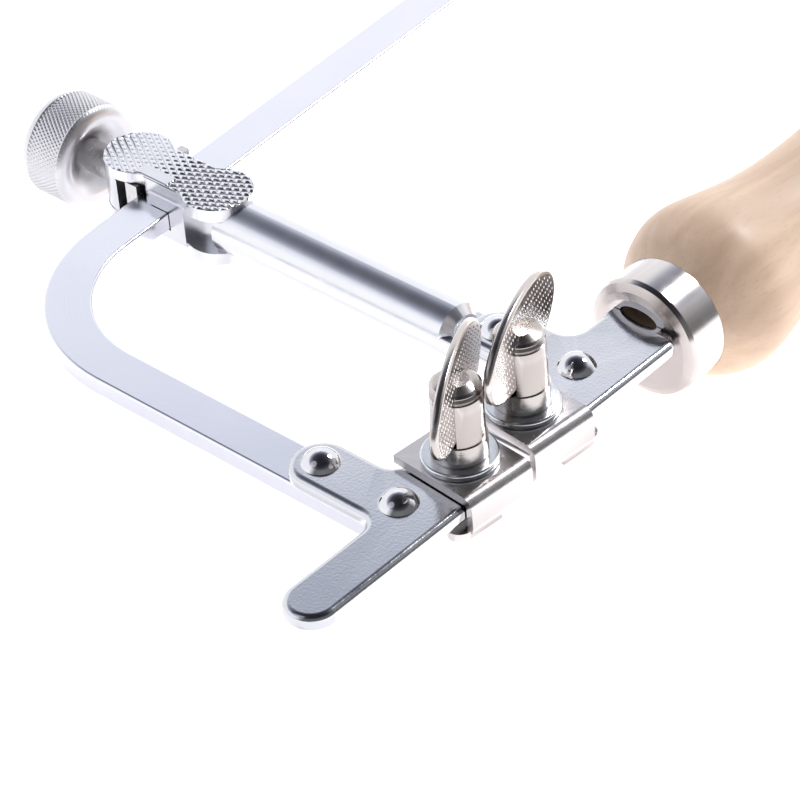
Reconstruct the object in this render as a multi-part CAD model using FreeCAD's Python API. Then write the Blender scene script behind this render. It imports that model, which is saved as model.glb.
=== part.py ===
import FreeCAD, Part
import math
import os
from FreeCAD import Vector

# Adjustable saw frame, lying flat and fully closed, in millimetres.
# +X runs from the nose to the handle, +Y from the blade line to the back bar, +Z is up.
# The origin is the handle-side blade seat: on the plate's top face, on the blade line.

# ---- driving dimensions ----
PLATE_THICK = 2.5
BAR_THICK = 2.9
BAR_WIDTH = 6.7
EDGE_Y = -1.5            # outer edge of both stamped plates
NOSE_WIDTH = 7.6         # width of the nose plate outside the clamp
LUG_WIDTH = 11.5         # width of both plates where the clamps sit
BRANCH_RADIUS = 4.3      # half the width of a plate's branch, and its end radius
EDGE_ROUND = 0.95        # rounding on the stamped edges
CORNER_ROUND = 2.8       # inner corners where a branch leaves its plate
TONGUE_Y = 2.3           # the bar's leg and the rod's tongue start here, under the plates

SCREW_Y = 4.3            # axis of the clamp screws
NOSE_CLAMP_X = -12.2
HANDLE_CLAMP_X = 0.0
NOSE_LEG_X = -22.3       # centre of the short leg of the back bar
NOSE_TIP_X = -45.7
ARM_X = 12.4             # axis of the arm rod
MID_Z = -PLATE_THICK - BAR_THICK / 2.0
BACK_Y = 79.7            # centre line of the back bar's long leg, where it crosses the arm rod
BAR_SPLAY = 3.9          # the long leg leans away from the blade line by this many degrees
BEND_RADIUS = 18.3       # inside radius of the bend in the back bar
BAR_END_X = 142.5

ROD_RADIUS = 4.2
ROD_END_Y = 68.6         # the rod runs into the head here
NECK_HALF = 3.2          # half the width of the head's neck beyond the rod
RIVET_Y = (5.8, 19.0)
RIVET_SHANK = 1.6
RIVET_HEAD = 2.7
RIVET_HEIGHT = 1.7

PAD_RADIUS = 5.2         # lobes of the gripping pads on the head
PAD_THICK = 1.8
PAD_TOP_Z = 0.6          # bottom of the cross cuts; their ridges stand a little above it
LOBE_ROD_Y = 70.9
LOBE_KNOB_Y = 86.6
WAIST = 3.75             # half the width of the head between its lobes
SLIDE_GAP = 0.12         # clearance of the back bar in the head

SHOE_THICK = 1.7
SHOE_TRAVEL = 1.3
SHOE_BACK_Y = BACK_Y + BAR_WIDTH / 2.0 + 0.3 + SHOE_THICK
KNOB_RADIUS = 8.0
KNOB_FACE_Y = 95.4
KNOB_DISH = 2.6          # depth of the hollow round the screw
SCREW_RADIUS = 2.4
BORE_RADIUS = 2.45       # running clearance in the threaded holes

JAW_WIDTH = 10.7
JAW_SKIN = 1.2
JAW_INSIDE = 3.6         # height inside the saddle
JAW_TURN = -4.5          # the saddle twists slightly when its screw is tightened
JAW_FRONT_Y = -3.1       # rounded front of the saddle, proud of the plate's edge
JAW_FRONT_SKIN = 1.0
LIP_RADIUS = 1.95        # rounded ear beside the saddle's lower lip
NOSE_JAW_Z = 0.25        # underside of the saddle's top flange above the plate
HANDLE_JAW_Z = 0.75
WASHER_RADIUS = 5.1
WASHER_THICK = 1.0
HUB_RADIUS = 3.5
COLLAR_RADIUS = 3.7
WING_HALF = 12.0
WING_RISE = 6.3          # half the height of a thumb plate
WING_THICK = 1.2
WING_CENTRE = 10.0       # centre of the oval above the washer
HUB_TOP = 11.6
SCREW_LOW_Z = -3.6       # the screws end just below the plates
NOSE_WING_TURN = 28.0    # heading of the thumb plates, degrees from +X
HANDLE_WING_TURN = 20.5    # far enough round for the plate to clear the nose screw's hub

HANDLE_Y = 5.75
FERRULE_X = 25.2         # front of the ferrule
WOOD_X = 32.3            # where the wood takes over from the ferrule
FERRULE_RADIUS = 8.8
FERRULE_SKIN = 0.6
TANG_HALF = 4.0          # half the width of the tang inside the handle
TANG_LENGTH = 32.0
MOUTH_HALF = 3.1         # the open mouth over the tang in the ferrule's front
MOUTH_RISE = 1.4
HANDLE_LENGTH = 105.0

os.makedirs("parts", exist_ok=True)


def box(x0, x1, y0, y1, z0, z1):
    return Part.makeBox(x1 - x0, y1 - y0, z1 - z0, Vector(x0, y0, z0))


def post(x, y, z0, z1, radius):
    return Part.makeCylinder(radius, z1 - z0, Vector(x, y, z0), Vector(0, 0, 1))


def along_y(x, z, y0, y1, radius):
    return Part.makeCylinder(radius, y1 - y0, Vector(x, y0, z), Vector(0, 1, 0))


def upright_edges(shape, places, reach=0.3):
    found = []
    for edge in shape.Edges:
        low, high = edge.BoundBox.ZMin, edge.BoundBox.ZMax
        flat = edge.BoundBox.XLength < 0.01 and edge.BoundBox.YLength < 0.01
        if high - low < 1.0 or not flat:
            continue
        for x, y in places:
            if math.hypot(edge.BoundBox.XMin - x, edge.BoundBox.YMin - y) < reach:
                found.append(edge)
    return found


def face_rim(shape, z):
    # edges that lie in the plane at height z
    found = []
    for edge in shape.Edges:
        if abs(edge.BoundBox.ZMin - z) < 0.001 and abs(edge.BoundBox.ZMax - z) < 0.001:
            found.append(edge)
    return found


def revolve(points, base, axis, across):
    # points are (distance along the axis, radius); the profile closes on the axis
    start = Vector(base)
    along = Vector(axis)
    out = Vector(across)
    corners = [start + along * points[0][0]]
    corners += [start + along * p[0] + out * p[1] for p in points]
    corners += [start + along * points[-1][0], corners[0]]
    face = Part.Face(Part.makePolygon(corners))
    return face.revolve(start, along, 360)


def save(shape, name):
    solid = shape.removeSplitter()
    if solid.ShapeType == "Compound" and len(solid.Solids) == 1:
        solid = solid.Solids[0]
    solid.exportStep("parts/" + name + ".step")
    print(name, "solids", len(solid.Solids), "valid", solid.isValid(), "mm3", round(solid.Volume, 1))


# ---- the stamped plates ----
def branch(x, bottom):
    top = RIVET_Y[1]
    arm = box(x - BRANCH_RADIUS, x + BRANCH_RADIUS, EDGE_Y, top, bottom, 0.0)
    return arm.fuse(post(x, top, bottom, 0.0, BRANCH_RADIUS))


def drill_plate(plate, rivet_x, screw_x):
    for y in RIVET_Y:
        plate = plate.cut(post(rivet_x, y, -PLATE_THICK - 1.0, 1.0, RIVET_SHANK))
    return plate.cut(post(screw_x, SCREW_Y, -PLATE_THICK - 1.0, 1.0, BORE_RADIUS))


def nose_plate():
    bottom = -PLATE_THICK
    half = NOSE_WIDTH / 2.0
    inner = EDGE_Y + NOSE_WIDTH
    tip_x = NOSE_TIP_X + half
    end_x = NOSE_CLAMP_X + JAW_WIDTH / 2.0 - 0.5
    shape = box(tip_x, end_x, EDGE_Y, inner, bottom, 0.0)
    shape = shape.fuse(post(tip_x, EDGE_Y + half, bottom, 0.0, half))
    shape = shape.fuse(branch(NOSE_LEG_X, bottom))
    lug = box(NOSE_LEG_X, end_x, EDGE_Y, EDGE_Y + LUG_WIDTH, bottom, 0.0)
    shape = shape.fuse(lug).removeSplitter()
    left, right = NOSE_LEG_X - BRANCH_RADIUS, NOSE_LEG_X + BRANCH_RADIUS
    corners = [(left, inner), (right, EDGE_Y + LUG_WIDTH)]
    shape = shape.makeFillet(CORNER_ROUND, upright_edges(shape, corners))
    shape = shape.makeFillet(EDGE_ROUND, face_rim(shape, 0.0) + face_rim(shape, bottom))
    return drill_plate(shape, NOSE_LEG_X, NOSE_CLAMP_X)


def handle_plate():
    bottom = -PLATE_THICK
    start_x = HANDLE_CLAMP_X - JAW_WIDTH / 2.0 + 0.5
    inner = EDGE_Y + LUG_WIDTH
    shape = box(start_x, FERRULE_X - 0.5, EDGE_Y, inner, bottom, 0.0)
    shape = shape.fuse(branch(ARM_X, bottom)).removeSplitter()
    left, right = ARM_X - BRANCH_RADIUS, ARM_X + BRANCH_RADIUS
    shape = shape.makeFillet(CORNER_ROUND, upright_edges(shape, [(left, inner), (right, inner)]))
    end_x = FERRULE_X - 0.5
    shape = shape.makeFillet(1.5, upright_edges(shape, [(end_x, EDGE_Y), (end_x, inner)]))
    shape = shape.makeFillet(EDGE_ROUND, face_rim(shape, 0.0) + face_rim(shape, bottom))
    tang_end = FERRULE_X + TANG_LENGTH
    tang = box(FERRULE_X - 2.0, tang_end, HANDLE_Y - TANG_HALF, HANDLE_Y + TANG_HALF, bottom, 0.0)
    return drill_plate(shape.fuse(tang), ARM_X, HANDLE_CLAMP_X)


# ---- the back bar: two straight legs joined by a bend of a little under a right angle ----
def along_bar(shape):
    # turn a shape drawn along X so that it lies along the long leg
    return shape.rotate(Vector(ARM_X, BACK_Y, 0), Vector(0, 0, 1), BAR_SPLAY)


def bar_wedge(cx, cy, bottom, top):
    # the part of the bend's ring between the two legs
    lean = math.radians(BAR_SPLAY)
    reach = 2.0 * (BEND_RADIUS + BAR_WIDTH)
    ends = [Vector(cx - reach, cy, bottom), Vector(cx - reach, cy + reach, bottom)]
    ends += [Vector(cx - reach * math.sin(lean), cy + reach * math.cos(lean), bottom)]
    corner = Vector(cx, cy, bottom)
    outline = Part.makePolygon([corner] + ends + [corner])
    return Part.Face(outline).extrude(Vector(0, 0, top - bottom))


def back_bar():
    top = -PLATE_THICK
    bottom = top - BAR_THICK
    half = BAR_WIDTH / 2.0
    inner, outer = BEND_RADIUS, BEND_RADIUS + BAR_WIDTH
    middle = BEND_RADIUS + half
    lean = math.radians(BAR_SPLAY)
    cx = NOSE_LEG_X + middle
    cy = BACK_Y + (cx - ARM_X) * math.tan(lean) - middle / math.cos(lean)
    ring = post(cx, cy, bottom, top, outer).cut(post(cx, cy, bottom - 1.0, top + 1.0, inner))
    bend = ring.common(bar_wedge(cx, cy, bottom, top))
    short_leg = box(NOSE_LEG_X - half, NOSE_LEG_X + half, TONGUE_Y, cy, bottom, top)
    bend_end = (cx - middle * math.sin(lean) - ARM_X) / math.cos(lean)
    length = (BAR_END_X - ARM_X) / math.cos(lean)
    long_leg = box(ARM_X + bend_end, ARM_X + length, BACK_Y - half, BACK_Y + half, bottom, top)
    tip = [(ARM_X + length, BACK_Y - half), (ARM_X + length, BACK_Y + half)]
    long_leg = along_bar(long_leg.makeFillet(2.0, upright_edges(long_leg, tip)))
    shape = bend.fuse(short_leg).fuse(long_leg).removeSplitter()
    shape = shape.makeFillet(0.35, face_rim(shape, top) + face_rim(shape, bottom))
    for y in RIVET_Y:
        shape = shape.cut(post(NOSE_LEG_X, y, bottom - 1.0, top + 1.0, RIVET_SHANK))
    return shape


# ---- rivets: a domed head on top, a shank through both pieces and a low peened tail ----
def rivet(x, y):
    bottom = -PLATE_THICK - BAR_THICK
    ball = (RIVET_HEAD ** 2 + RIVET_HEIGHT ** 2) / (2.0 * RIVET_HEIGHT)
    dome = Part.makeSphere(ball, Vector(x, y, RIVET_HEIGHT - ball))
    dome = dome.common(post(x, y, 0.0, RIVET_HEIGHT + 1.0, RIVET_HEAD))
    tail = Part.makeCone(2.1, 2.5, 0.6, Vector(x, y, bottom - 0.6), Vector(0, 0, 1))
    return dome.fuse(post(x, y, bottom, 0.0, RIVET_SHANK)).fuse(tail)


# ---- the arm rod and its head ----
def lobed(z0, z1):
    # the head's plan: two round lobes with a narrower waist between them
    shape = post(ARM_X, LOBE_ROD_Y, z0, z1, PAD_RADIUS)
    shape = shape.fuse(post(ARM_X, LOBE_KNOB_Y, z0, z1, PAD_RADIUS))
    waist = box(ARM_X - WAIST, ARM_X + WAIST, LOBE_ROD_Y, LOBE_KNOB_Y, z0, z1)
    shape = shape.fuse(waist).removeSplitter()
    reach = math.sqrt(PAD_RADIUS ** 2 - WAIST ** 2)
    corners = []
    for side in (-1, 1):
        corners += [(ARM_X + side * WAIST, LOBE_ROD_Y + reach), (ARM_X + side * WAIST, LOBE_KNOB_Y - reach)]
    return shape.makeFillet(3.0, upright_edges(shape, corners))


def head():
    pad_low_z = 2.0 * MID_Z - PAD_TOP_Z
    pads = lobed(PAD_TOP_Z - PAD_THICK, PAD_TOP_Z).fuse(lobed(pad_low_z, pad_low_z + PAD_THICK))
    core_y = BACK_Y - BAR_WIDTH / 2.0 - 3.4
    low, high = pad_low_z + 0.5, PAD_TOP_Z - 0.5
    core = box(ARM_X - WAIST, ARM_X + WAIST, core_y, LOBE_KNOB_Y, low, high)
    neck = box(ARM_X - NECK_HALF, ARM_X + NECK_HALF, ROD_END_Y - 1.0, core_y + 1.0, low, high)
    wall = post(ARM_X, LOBE_KNOB_Y, pad_low_z, PAD_TOP_Z, PAD_RADIUS - 0.08)
    cheek = box(ARM_X - PAD_RADIUS, ARM_X + WAIST, core_y, BACK_Y, MID_Z - 3.2, PAD_TOP_Z - 1.0)
    return pads.fuse(core).fuse(neck).fuse(wall).fuse(cheek)


def bar_envelope(gap):
    half = BAR_THICK / 2.0 + gap
    side = BAR_WIDTH / 2.0 + gap
    straight = box(ARM_X - 12.0, ARM_X + 12.0, BACK_Y - side, BACK_Y + side, MID_Z - half, MID_Z + half)
    return along_bar(straight)


def head_window():
    # the bar's slot, a taller pocket for the shoe and the threaded hole for the clamp screw
    edge_y = BACK_Y + BAR_WIDTH / 2.0
    back_y = SHOE_BACK_Y + SHOE_TRAVEL + 0.1
    pocket = box(ARM_X - 9.0, ARM_X + 9.0, edge_y - 1.2, back_y, MID_Z - 3.0, MID_Z + 3.0)
    bore = along_y(ARM_X, MID_Z, back_y - 1.0, LOBE_KNOB_Y + PAD_RADIUS + 1.0, BORE_RADIUS)
    return bar_envelope(SLIDE_GAP).fuse(pocket).fuse(bore)


def arm_rod():
    top = -PLATE_THICK
    tongue_end = RIVET_Y[1] + BRANCH_RADIUS + 2.0
    tongue = box(ARM_X - 4.0, ARM_X + 4.0, TONGUE_Y, tongue_end + 1.0, top - BAR_THICK, top)
    tongue = tongue.makeFillet(0.5, face_rim(tongue, top) + face_rim(tongue, top - BAR_THICK))
    rod = along_y(ARM_X, MID_Z, tongue_end, ROD_END_Y, ROD_RADIUS)
    ring = [e for e in rod.Edges if abs(e.BoundBox.YMax - tongue_end) < 0.001]
    rod = rod.makeChamfer(1.2, ring)
    shape = tongue.fuse(rod).fuse(head()).cut(head_window())
    for y in RIVET_Y:
        shape = shape.cut(post(ARM_X, y, top - BAR_THICK - 1.0, top + 1.0, RIVET_SHANK))
    return shape


# ---- the back-bar lock: shoe, screw and knurled knob ----
def pressure_shoe():
    # its inner face lies along the bar's edge and its outer face is square to the screw
    y0 = SHOE_BACK_Y - SHOE_THICK - 1.0
    x0 = ARM_X - PAD_RADIUS + 0.5
    x1 = ARM_X + PAD_RADIUS + 1.6
    body = box(x0, x1, y0, SHOE_BACK_Y, MID_Z - 1.6, MID_Z + 1.6)
    slab = box(x0, ARM_X + PAD_RADIUS - 0.6, y0, SHOE_BACK_Y, MID_Z - 2.8, MID_Z + 2.8)
    ear = box(ARM_X + PAD_RADIUS + 0.3, x1, y0, SHOE_BACK_Y, MID_Z - 2.8, MID_Z + 2.8)
    side = BAR_WIDTH / 2.0 + 0.03
    bar = box(ARM_X - 15.0, ARM_X + 15.0, BACK_Y - side, BACK_Y + side, MID_Z - 5.0, MID_Z + 5.0)
    return body.fuse(slab).fuse(ear).cut(along_bar(bar))


def clamp_screw():
    length = KNOB_FACE_Y + KNOB_DISH - SHOE_BACK_Y
    points = [(0.0, 1.7), (0.6, SCREW_RADIUS), (length, SCREW_RADIUS)]
    return revolve(points, (ARM_X, SHOE_BACK_Y, MID_Z), (0, 1, 0), (1, 0, 0))


def clamp_knob():
    # dished on the head side, round-shouldered, with a plain rim and a crowned outer end
    full = KNOB_RADIUS
    points = [(KNOB_DISH, SCREW_RADIUS), (1.9, 3.4), (0.6, 4.9), (0.0, 6.0), (0.25, full - 0.7)]
    points += [(0.9, full), (7.0, full), (8.2, full - 0.5), (9.0, full - 1.5), (9.6, full - 3.4)]
    points += [(9.8, 0.0)]
    return revolve(points, (ARM_X, KNOB_FACE_Y, MID_Z), (0, 1, 0), (1, 0, 0))


# ---- blade clamps: saddle, washer, wing screw and thumb plate ----
def blade_jaw(x, underside, outward):
    half = JAW_WIDTH / 2.0
    front = JAW_FRONT_Y
    back = SCREW_Y + 6.6
    lip_back = EDGE_Y + 3.0
    top = underside + JAW_SKIN
    low = underside - JAW_INSIDE
    shell = box(x - half, x + half, front, back, low - JAW_SKIN, top)
    front_edges = []
    for edge in shell.Edges:
        if abs(edge.BoundBox.YMax - front) < 0.001 and edge.BoundBox.XLength > 1.0:
            front_edges.append(edge)
    shell = shell.makeFillet(1.7, front_edges)
    left, right = x - half - 1.0, x + half + 1.0
    inside = box(left, right, front + JAW_FRONT_SKIN, back + 1.0, low, underside)
    under = box(left, right, lip_back, back + 1.0, low - JAW_SKIN - 1.0, low + 0.5)
    shell = shell.cut(inside).cut(under)
    lip_x = x + outward * (half + 0.1)
    lip_y = lip_back - LIP_RADIUS - 0.35
    lip = box(min(x, lip_x), max(x, lip_x), lip_y - LIP_RADIUS, lip_y + LIP_RADIUS, low - JAW_SKIN, low)
    lip = lip.fuse(post(lip_x, lip_y, low - JAW_SKIN, low, LIP_RADIUS))
    shell = shell.fuse(lip).cut(post(x, SCREW_Y, low - 2.0, top + 1.0, SCREW_RADIUS + 0.3))
    return shell.rotate(Vector(x, SCREW_Y, 0), Vector(0, 0, 1), JAW_TURN)


def blade_washer(x, underside):
    base = underside + JAW_SKIN
    ring = post(x, SCREW_Y, base, base + WASHER_THICK, WASHER_RADIUS)
    rims = face_rim(ring, base + WASHER_THICK) + face_rim(ring, base)
    ring = ring.makeFillet(0.3, rims)
    return ring.cut(post(x, SCREW_Y, base - 1.0, base + WASHER_THICK + 1.0, SCREW_RADIUS + 0.3))


def wing_screw(x, underside, turn):
    base = underside + JAW_SKIN + WASHER_THICK
    low = SCREW_LOW_Z - base
    points = [(low, 1.7), (low + 0.7, SCREW_RADIUS), (0.0, SCREW_RADIUS), (0.0, COLLAR_RADIUS - 0.2)]
    points += [(0.2, COLLAR_RADIUS), (3.0, COLLAR_RADIUS), (3.0, HUB_RADIUS), (9.5, HUB_RADIUS - 0.1)]
    for step in (9.7, 10.4):
        groove = HUB_RADIUS - 0.4
        points += [(step, groove), (step + 0.2, groove), (step + 0.3, HUB_RADIUS - 0.15)]
    points += [(11.0, HUB_RADIUS - 0.5), (HUB_TOP - 0.1, 1.8), (HUB_TOP, 0.0)]
    hub = revolve(points, (x, SCREW_Y, base), (0, 0, 1), (1, 0, 0))
    half = WING_THICK / 2.0
    slot = box(x - 5.0, x + 5.0, SCREW_Y - half, SCREW_Y + half, base + 3.1, base + 20.0)
    return hub.cut(slot.rotate(Vector(x, SCREW_Y, 0), Vector(0, 0, 1), turn))


def thumb_plate(x, underside, turn):
    # an oval plate standing edge-on in the hub's slot
    centre = underside + JAW_SKIN + WASHER_THICK + WING_CENTRE
    half = WING_THICK / 2.0
    middle = Vector(x, SCREW_Y - half, centre)
    side = Vector(x + WING_HALF, SCREW_Y - half, centre)
    crest = Vector(x, SCREW_Y - half, centre + WING_RISE)
    outline = Part.Wire(Part.Ellipse(side, crest, middle).toShape())
    plate = Part.Face(outline).extrude(Vector(0, WING_THICK, 0))
    rims = [e for e in plate.Edges if e.BoundBox.YLength < 0.01 and e.BoundBox.ZLength > WING_RISE]
    plate = plate.makeChamfer(0.25, rims)
    return plate.rotate(Vector(x, SCREW_Y, 0), Vector(0, 0, 1), turn)


# ---- the handle and its ferrule ----
def ferrule_profile(skin):
    # a cup with a flat front and a rounded shoulder
    radius = FERRULE_RADIUS - skin
    points = [(skin, 0.0), (skin, 6.4 - skin * 0.3), (0.25 + skin, 7.4 - skin * 0.6)]
    points += [(0.8 + skin, radius - 0.3), (1.5 + skin, radius), (WOOD_X - FERRULE_X, radius)]
    return points


def tang_slot(slack):
    reach = TANG_HALF + slack
    end_x = FERRULE_X + TANG_LENGTH + 1.0
    return box(FERRULE_X - 3.0, end_x, HANDLE_Y - reach, HANDLE_Y + reach, -PLATE_THICK - slack, slack)


def tang_mouth():
    # half an oval standing on the plate's top face, reaching a little way into the wood
    middle = Vector(FERRULE_X - 1.0, HANDLE_Y, 0.0)
    side = Vector(FERRULE_X - 1.0, HANDLE_Y + MOUTH_HALF, 0.0)
    crest = Vector(FERRULE_X - 1.0, HANDLE_Y, MOUTH_RISE)
    outline = Part.Wire(Part.Ellipse(side, crest, middle).toShape())
    return Part.Face(outline).extrude(Vector(5.0, 0, 0))


def ferrule():
    base = (FERRULE_X, HANDLE_Y, MID_Z)
    shell = revolve(ferrule_profile(0.0), base, (1, 0, 0), (0, 1, 0))
    shell = shell.cut(revolve(ferrule_profile(FERRULE_SKIN), base, (1, 0, 0), (0, 1, 0)))
    return shell.cut(tang_slot(0.1)).cut(tang_mouth())


def handle():
    # distance behind the ferrule, radius: bulb, waist, palm swell and a rounded butt
    swell = [(0.0, 8.85), (0.9, 9.4), (2.3, 10.4), (4.6, 11.6), (7.8, 12.4), (11.3, 12.1)]
    swell += [(16.9, 11.0), (23.0, 10.1), (31.0, 9.7), (37.0, 9.8), (45.0, 10.5), (56.0, 12.1)]
    swell += [(68.0, 13.8), (79.0, 14.5), (89.0, 13.9), (97.0, 11.5), (102.5, 7.6), (HANDLE_LENGTH, 0.0)]
    points = [Vector(WOOD_X + d, HANDLE_Y + r, MID_Z) for d, r in swell]
    curve = Part.BSplineCurve()
    curve.interpolate(points)
    start = Vector(WOOD_X, HANDLE_Y, MID_Z)
    edges = [Part.makeLine(start, points[0]), curve.toShape(), Part.makeLine(points[-1], start)]
    wood = Part.Face(Part.Wire(edges)).revolve(start, Vector(1, 0, 0), 360)
    tenon = revolve(ferrule_profile(FERRULE_SKIN), (FERRULE_X, HANDLE_Y, MID_Z), (1, 0, 0), (0, 1, 0))
    return wood.fuse(tenon).cut(tang_slot(0.1)).cut(tang_mouth())


save(handle(), "handle")
save(ferrule(), "ferrule")
save(handle_plate(), "handle_plate")
save(arm_rod(), "arm_rod")
save(nose_plate(), "nose_plate")
save(back_bar(), "back_bar")
for side, rivet_x in (("handle", ARM_X), ("nose", NOSE_LEG_X)):
    save(rivet(rivet_x, RIVET_Y[0]), side + "_rivet_inner")
    save(rivet(rivet_x, RIVET_Y[1]), side + "_rivet_outer")
nose_clamp = ("nose", NOSE_CLAMP_X, NOSE_JAW_Z, NOSE_WING_TURN, -1)
handle_clamp = ("handle", HANDLE_CLAMP_X, HANDLE_JAW_Z, HANDLE_WING_TURN, 1)
for side, clamp_x, underside, turn, outward in (nose_clamp, handle_clamp):
    save(blade_jaw(clamp_x, underside, outward), side + "_jaw")
    save(blade_washer(clamp_x, underside), side + "_washer")
    save(wing_screw(clamp_x, underside, turn), side + "_screw")
    save(thumb_plate(clamp_x, underside, turn), side + "_thumb_plate")
save(pressure_shoe(), "pressure_shoe")
save(clamp_screw(), "clamp_screw")
save(clamp_knob(), "clamp_knob")
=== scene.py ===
# %% [markdown]
# An adjustable frame saw with a turned wooden handle, lying flat on a white table. Its solids
# were drawn and packed elsewhere. They are loaded first, because every piece and finish below
# stands on them or between them.

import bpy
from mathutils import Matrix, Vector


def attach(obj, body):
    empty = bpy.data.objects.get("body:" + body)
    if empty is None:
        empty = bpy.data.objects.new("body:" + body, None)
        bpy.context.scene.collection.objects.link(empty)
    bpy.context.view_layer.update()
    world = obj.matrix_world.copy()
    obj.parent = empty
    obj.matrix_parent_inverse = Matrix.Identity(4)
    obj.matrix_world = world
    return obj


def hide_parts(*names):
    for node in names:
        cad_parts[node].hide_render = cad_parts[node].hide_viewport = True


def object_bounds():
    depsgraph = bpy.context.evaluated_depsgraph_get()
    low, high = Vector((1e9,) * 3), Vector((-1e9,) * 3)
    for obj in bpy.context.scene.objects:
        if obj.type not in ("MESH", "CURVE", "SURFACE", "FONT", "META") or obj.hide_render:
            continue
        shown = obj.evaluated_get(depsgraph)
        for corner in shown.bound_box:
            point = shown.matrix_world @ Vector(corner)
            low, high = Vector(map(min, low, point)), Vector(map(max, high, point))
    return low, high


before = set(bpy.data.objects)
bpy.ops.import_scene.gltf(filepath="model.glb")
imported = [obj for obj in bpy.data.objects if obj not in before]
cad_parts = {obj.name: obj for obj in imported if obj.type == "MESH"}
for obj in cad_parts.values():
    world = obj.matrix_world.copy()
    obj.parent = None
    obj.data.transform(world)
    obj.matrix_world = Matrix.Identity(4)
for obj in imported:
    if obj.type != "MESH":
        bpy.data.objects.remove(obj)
cad_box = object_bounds()
print("packed box", [round(v, 4) for v in cad_box[0]], [round(v, 4) for v in cad_box[1]])

# %% [markdown]
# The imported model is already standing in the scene. Everything below is drawn in metres in the
# same frame: +X runs from the nose to the handle, +Y from the blade line to the back bar and
# +Z is up. Small parts are easier to think about in millimetres, so one factor turns them into
# metres.

# %% Units and the sizes that several pieces share
import math

import bmesh
import bpy
from mathutils import Matrix, Vector

MM = 0.001
ARM_X = 12.4      # middle line of the rod, the head and the lock knob
MID_Z = -3.95     # middle height of rod and bar
SCREW_Y = 4.3     # both thumb screws stand on this line

# %% [markdown]
# The saw lies flat and is looked at from the nose side, about 38 degrees above the table, with
# a long lens, so there is hardly any perspective. A camera can be turned by angles, but a small
# roll about the line of sight is clearer when the three axes of the camera are worked out and
# put in its matrix directly.

# %% Camera
AZIMUTH, ELEVATION, ROLL = math.radians(45.319), math.radians(38.236), math.radians(-4.693)
eye = Vector((-253.62, -224.67, 273.43)) * MM
sight = Vector((math.sin(AZIMUTH) * math.cos(ELEVATION), math.cos(AZIMUTH) * math.cos(ELEVATION),
                -math.sin(ELEVATION)))
level = Vector((math.cos(AZIMUTH), -math.sin(AZIMUTH), 0.0))
upright = level.cross(sight)
right = level * math.cos(ROLL) + upright * math.sin(ROLL)
up = upright * math.cos(ROLL) - level * math.sin(ROLL)

camera_data = bpy.data.cameras.new("camera")
camera_data.sensor_width = 36.0
camera_data.lens = 154.17
camera_data.clip_start = 0.01
camera_data.clip_end = 20.0
camera = bpy.data.objects.new("camera", camera_data)
turn = Matrix((right, up, -sight)).transposed().to_4x4()
camera.matrix_world = Matrix.Translation(eye) @ turn
bpy.context.scene.collection.objects.link(camera)
bpy.context.scene.camera = camera
print("camera", [round(v, 4) for v in eye], "lens", camera_data.lens)

# %% [markdown]
# Chrome has almost no colour of its own: it shows the room. So the room comes before the
# metals. It is a light tent: pale walls up to a third of the way to the zenith, then a soft
# step down to a grey-blue roof that darkens overhead. The step is what gives flat plates their
# grey sheen and round rods their dark stripe. The tent is open in front, and the dark room
# there is what gives domes and rounded edges their black lines. A sky picture could do this
# too, but a ramp over the height of the ray is plain to read and easy to change.

# %% The light tent
world = bpy.data.worlds.new("light_tent")
world.use_nodes = True
bpy.context.scene.world = world
tent = world.node_tree
tent.nodes.clear()
ray = tent.nodes.new("ShaderNodeTexCoord")
ray.label = "direction of the ray"
parts = tent.nodes.new("ShaderNodeSeparateXYZ")
parts.label = "height of the ray"
lean = tent.nodes.new("ShaderNodeMath")
lean.label = "the step is lower on the handle side"
lean.operation = "MULTIPLY_ADD"
lean.inputs[1].default_value = -0.03
height = tent.nodes.new("ShaderNodeMapRange")
height.label = "floor to zenith as 0 to 1"
height.inputs["From Min"].default_value = -1.0
walls = tent.nodes.new("ShaderNodeValToRGB")
walls.label = "pale walls, grey-blue roof"
stops = walls.color_ramp
stops.elements[0].position = 0.0
stops.elements[0].color = (0.96, 0.96, 0.98, 1.0)
stops.elements[1].position = 1.0
stops.elements[1].color = (0.02, 0.02, 0.025, 1.0)
for place, shade in ((0.77, (0.96, 0.97, 1.0)), (0.792, (0.84, 0.86, 0.93)), (0.805, (0.68, 0.71, 0.80)),
                     (0.818, (0.47, 0.50, 0.60)), (0.835, (0.36, 0.39, 0.47)), (0.87, (0.20, 0.21, 0.26)),
                     (0.92, (0.06, 0.06, 0.08))):
    stop = stops.elements.new(place)
    stop.color = (*shade, 1.0)
facing = tent.nodes.new("ShaderNodeVectorMath")
facing.label = "towards the back wall or the open front"
facing.operation = "DOT_PRODUCT"
facing.inputs[1].default_value = (0.40, 0.92, 0.0)
opening = tent.nodes.new("ShaderNodeMapRange")
opening.label = "the tent is open and dark in front"
opening.inputs["From Min"].default_value = -0.45
opening.inputs["From Max"].default_value = 0.0
opening.inputs["To Min"].default_value = 0.14
opening.inputs["To Max"].default_value = 1.0
dim = tent.nodes.new("ShaderNodeMix")
dim.label = "darken the front"
dim.data_type = "RGBA"
dim.inputs["A"].default_value = (0.012, 0.012, 0.014, 1.0)
glow = tent.nodes.new("ShaderNodeBackground")
glow.label = "tent brightness"
glow.inputs["Strength"].default_value = 1.38
sky = tent.nodes.new("ShaderNodeOutputWorld")
sky.label = "room"
for spot, node in enumerate((ray, parts, lean, height, walls, facing, opening, dim, glow, sky)):
    node.location = (spot * 200, 0)
tent.links.new(ray.outputs["Generated"], parts.inputs["Vector"])
tent.links.new(parts.outputs["X"], lean.inputs[0])
tent.links.new(parts.outputs["Z"], lean.inputs[2])
tent.links.new(lean.outputs["Value"], height.inputs["Value"])
tent.links.new(height.outputs["Result"], walls.inputs["Fac"])
tent.links.new(ray.outputs["Generated"], facing.inputs[0])
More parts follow.
